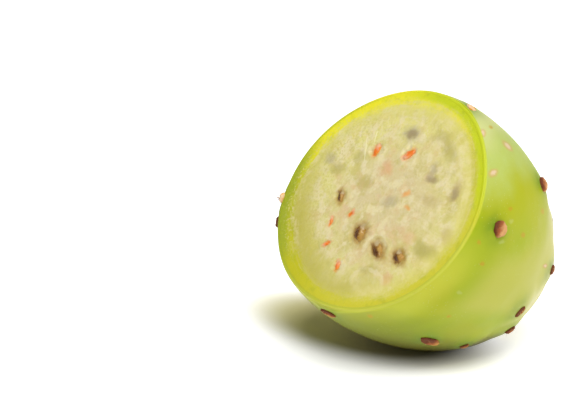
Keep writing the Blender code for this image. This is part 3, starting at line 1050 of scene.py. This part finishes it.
# The first pads: half length, half width, height, turn from the core, peach share and depth in the skin
PAD_FORMS = (
    (0.00185, 0.0012, 0.00012, 55.0, 0.95, 0.0),
    (0.00135, 0.0012, 0.0007, 90.0, 1.0, 0.0004),
    (0.0015, 0.0012, 0.00095, 90.0, -0.2, 0.0),
    (0.00225, 0.0011, 0.00055, 80.0, -0.2, 0.0),
    (0.00195, 0.0018, 0.00105, 90.0, 0.4, 0.0),
    (0.0029, 0.0015, 0.0006, 7.0, -0.4, 0.0),
    (0.00215, 0.0015, 0.00105, 70.0, 0.5, 0.0),
    (0.00115, 0.0009, 0.0005, 60.0, 0.0, 0.0),
    (0.00165, 0.0011, 0.00045, 75.0, -0.6, 0.0),
    (0.00145, 0.0011, 0.0007, 60.0, -0.2, 0.0),
    (0.00125, 0.0011, 0.00065, 80.0, -0.3, 0.0),
)


def pad_frame(distance, angle, degrees):
    """Where a pad sits: its length on the skin, its width, and out of the skin."""
    along_it, outward = skin_axes(distance, angle, degrees)
    point = skin_point(distance, angle)
    seat = point + outward * skin_relief(point)
    return Matrix.Translation(seat) @ turned_to(along_it, outward).to_4x4()


def keep_off_floor(piece):
    for vert in piece.data.vertices:
        vert.co.z = max(vert.co.z, FLOOR_GAP)


draw = random.Random(31)
lengths, widths, heights, turns, peaches = LATER_PADS
pad_forms = list(PAD_FORMS)
while len(pad_forms) < len(AREOLES):
    half_length = draw.uniform(*lengths)
    half_width = half_length * draw.uniform(*widths)
    height = draw.uniform(*heights) if len(pad_forms) < CROWN_RING_FROM else CROWN_PAD_HEIGHT
    turn, peach = draw.uniform(*turns), draw.uniform(*peaches)
    pad_forms.append((half_length, half_width, height, turn, peach, 0.0))

pads = []
for number, ((distance, angle), form) in enumerate(zip(AREOLES, pad_forms)):
    half_length, half_width, height, turn, peach, sunk = form
    seat = pad_frame(distance, angle, turn) @ Matrix.Translation((0, 0, -sunk))
    cutward = (seat.inverted().to_3x3() @ Vector((-1, 0, 0))).xy.normalized()
    pad = ball()
    side = pad.data.attributes.new("cutward", "FLOAT", "POINT")
    felt = pad.data.attributes.new("peach", "FLOAT", "POINT")
    felt.data.foreach_set("value", [peach] * len(pad.data.vertices))
    for vert in pad.data.vertices:
        direction = vert.co.normalized()
        lump = layered(direction, PAD_LUMPS, Vector((number * 9, 0, 0)), 1)
        flat = direction.xy
        to_cut = flat.dot(cutward)
        up = abs(direction.z) ** 0.65 * (1 if direction.z > 0 else -1)
        if up > 0:
            up -= 0.5 * bell((flat - cutward * 0.3).length, 0.45) + 0.15 * to_cut
        rise = up * lump * (height if up > 0 else PAD_ROOT)
        vert.co = Vector((direction.x * lump * half_length, direction.y * lump * half_width, rise))
        side.data[vert.index].value = 0.5 + 0.5 * to_cut
    pad.data.transform(seat)
    pads.append(pad)
areoles = joined(pads, "areoles")
lay_down(areoles)
keep_off_floor(areoles)
bpy.ops.object.shade_smooth()

CORK_DARK = (0.13, 0.032, 0.007)
CORK_BROWN = (0.3, 0.085, 0.022)
FELT_OCHRE = (0.48, 0.23, 0.055)
FELT_PEACH = (0.62, 0.33, 0.14)
PALE_PEACH = (0.8, 0.56, 0.33)
PALE_ORANGE = (0.8, 0.36, 0.06)
finish, shader, place = new_finish("dry cork", Specular_IOR_Level=0.3)
to_cut = place.attribute("cutward") + (cloud(place, 0.0018, 3) - 0.5) * 0.5
peach = place.attribute("peach")
felt = tinted(FELT_OCHRE, FELT_PEACH, grade(peach, 0.0, 0.6))
dark_from = to_cut - peach * 0.25
pale_colour = tinted(PALE_PEACH, PALE_ORANGE, grade(cloud(place, 0.0012, 2), 0.45, 0.62))
colour = coated(
    CORK_DARK,
    (CORK_BROWN, grade(dark_from, 0.76, 0.46)),
    (felt, grade(dark_from, 0.52, 0.26)),
    (pale_colour, grade(peach, 0.6, 1.0)),
)
plug(colour, shader, "Base Color")
plug(0.7 + cloud(place, 0.001, 2) * 0.25, shader, "Roughness")
bump(cloud(place, 0.0003, 4), shader, 0.8, 0.00015)
areoles.data.materials.append(finish)
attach(areoles, "root")
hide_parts("prickly_pear_fruit")


# The bristles: the short barbed hairs that brushing left standing in the areoles, straw-yellow and stiff.
# One is a thin six-sided cone, and the others are its copies, leaning out of their pads.
BRISTLE_RADIUS = 0.00007
BRISTLES_A_PAD = 9
LONG_PAD, LONG_BRISTLES = 1, 16
STANDS_OUT = (0.0001, 0.00045)
LONG_STANDS_OUT = (0.0005, 0.0011)
LEAN = 0.35
bpy.ops.object.select_all(action="DESELECT")
bpy.ops.mesh.primitive_cone_add(vertices=6, radius1=BRISTLE_RADIUS, radius2=0, depth=1, location=(0, 0, 0.5))
bpy.ops.object.transform_apply(location=True)
bpy.ops.object.mode_set(mode="EDIT")
bpy.ops.mesh.select_all(action="SELECT")
bpy.ops.mesh.subdivide(number_cuts=1)
bpy.ops.object.mode_set(mode="OBJECT")
first = bpy.context.object
bristles = []
for number, ((distance, angle), form) in enumerate(zip(AREOLES, pad_forms)):
    half_length, half_width, height, turn, _, _ = form
    seat = pad_frame(distance, angle, turn)
    long = number == LONG_PAD
    for _ in range(LONG_BRISTLES if long else BRISTLES_A_PAD):
        out, round_it = draw.uniform(0, 0.7) ** 0.5, draw.uniform(0, math.tau)
        foot = Vector((out * half_length * math.cos(round_it), out * half_width * math.sin(round_it), 0))
        lean = Vector((draw.gauss(0, LEAN), draw.gauss(0, LEAN), 1)).normalized()
        length = height + draw.uniform(*(LONG_STANDS_OUT if long else STANDS_OUT))
        bristle = bpy.data.objects.new("bristle", first.data.copy())
        bpy.context.scene.collection.objects.link(bristle)
        turned = lean.to_track_quat("Z", "Y").to_matrix().to_4x4()
        bristle.data.transform(seat @ Matrix.Translation(foot) @ turned @ Matrix.Diagonal((1, 1, length, 1)))
        bristles.append(bristle)
bpy.data.objects.remove(first)
bristles = joined(bristles, "bristles")
lay_down(bristles)
keep_off_floor(bristles)
bpy.ops.object.shade_smooth()

BRISTLE_STRAW = (0.62, 0.42, 0.15)
BRISTLE_RUST = (0.3, 0.12, 0.035)
finish, shader, place = new_finish("stiff straw bristle")
colour = tinted(BRISTLE_STRAW, BRISTLE_RUST, grade(cloud(place, 0.0008, 2), 0.4, 0.62))
plug(colour, shader, "Base Color")
plug(0.35 + cloud(place, 0.0005, 2) * 0.3, shader, "Roughness")
bristles.data.materials.append(finish)
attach(bristles, "root")
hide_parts("prickly_pear_fruit")


# The studio: a plain pale floor in a white room, with a broad soft light above the camera and a weaker one
# from the right. Away from the shade under the fruit the floor glows a little, and looks white.
FLOOR_SIZE = 6
FLOOR_PALE = (0.78, 0.78, 0.78)
# Where the fruit's shade falls, the floor is tinted yellow: painted colour of the light that the fruit
# throws back onto it.
FLOOR_IN_SHADE = (0.78, 0.72, 0.34)
FLOOR_GLOW = 0.53
SHADE_MIDDLE = (-0.0022, 0.0196, 0.0)
SHADE_NARROWER = (1.0, 0.5155, 1.0)
SHADE_FROM, TINT_FROM, SHADE_TO = 0.0124, 0.01, 0.0245
bpy.ops.object.select_all(action="DESELECT")
bpy.ops.mesh.primitive_plane_add(size=FLOOR_SIZE)
floor = bpy.context.object
floor.name = "floor"
finish, shader, _ = new_finish("pale floor", Base_Color=(*FLOOR_PALE, 1), Roughness=0.9)
tree = finish.node_tree
place = Wire(tree, tree.nodes.new("ShaderNodeTexCoord").outputs["Object"])
from_shade = place.vector_maths("SUBTRACT", SHADE_MIDDLE).vector_maths("MULTIPLY", SHADE_NARROWER).length()
plug(tinted((0, 0, 0), (1, 1, 1), grade(from_shade, SHADE_FROM, SHADE_TO)), shader, "Emission Color")
plug(tinted(FLOOR_IN_SHADE, FLOOR_PALE, grade(from_shade, TINT_FROM, SHADE_TO)), shader, "Base Color")
shader.inputs["Emission Strength"].default_value = FLOOR_GLOW
floor.data.materials.append(finish)

ROOM_LIGHT = 0.2
room = bpy.data.worlds.new("white room")
room.use_nodes = True
sky = room.node_tree.nodes["Background"].inputs
sky["Color"].default_value = (1, 1, 1, 1)
sky["Strength"].default_value = ROOM_LIGHT
bpy.context.scene.world = room


def wide_light(name, coming_from, strength, degrees):
    """A broad soft light: a sun lamp as wide as this many degrees of sky."""
    lamp = bpy.data.lights.new(name, "SUN")
    lamp.energy = strength
    lamp.angle = math.radians(degrees)
    light = bpy.data.objects.new(name, lamp)
    bpy.context.scene.collection.objects.link(light)
    light.rotation_euler = (-Vector(coming_from)).to_track_quat("-Z", "Y").to_euler()


wide_light("light above the camera", (-0.27, -0.37, 0.89), 2.65, 36)
wide_light("light from the right", (0.43, -0.56, 0.71), 1.0, 50)

# The camera looks at the fruit as the photograph does
CAMERA_AZIMUTH = math.radians(-42.7)
CAMERA_ELEVATION = math.radians(15.0)
CAMERA_DISTANCE = 0.45
AIM_RIGHT, AIM_UP = -0.0226, -0.00054
FOCAL_LENGTH_MM = 120
SENSOR_WIDTH_MM = 36
tilt = Matrix.Rotation(CAMERA_AZIMUTH, 3, "Z") @ Matrix.Rotation(-CAMERA_ELEVATION, 3, "X")
back = tilt @ Vector((0, -1, 0))
right = Vector((0, 0, 1)).cross(back).normalized()
upward = back.cross(right)
lens = bpy.data.cameras.new("camera")
lens.lens = FOCAL_LENGTH_MM
lens.sensor_width = SENSOR_WIDTH_MM
camera = bpy.data.objects.new("camera", lens)
bpy.context.scene.collection.objects.link(camera)
aim = FACE_CENTRE + right * AIM_RIGHT + upward * AIM_UP
turn = Matrix((right, upward, back)).transposed().to_4x4()
camera.matrix_world = Matrix.Translation(aim + back * CAMERA_DISTANCE) @ turn
bpy.context.scene.camera = camera
bpy.context.scene.view_settings.view_transform = "Standard"
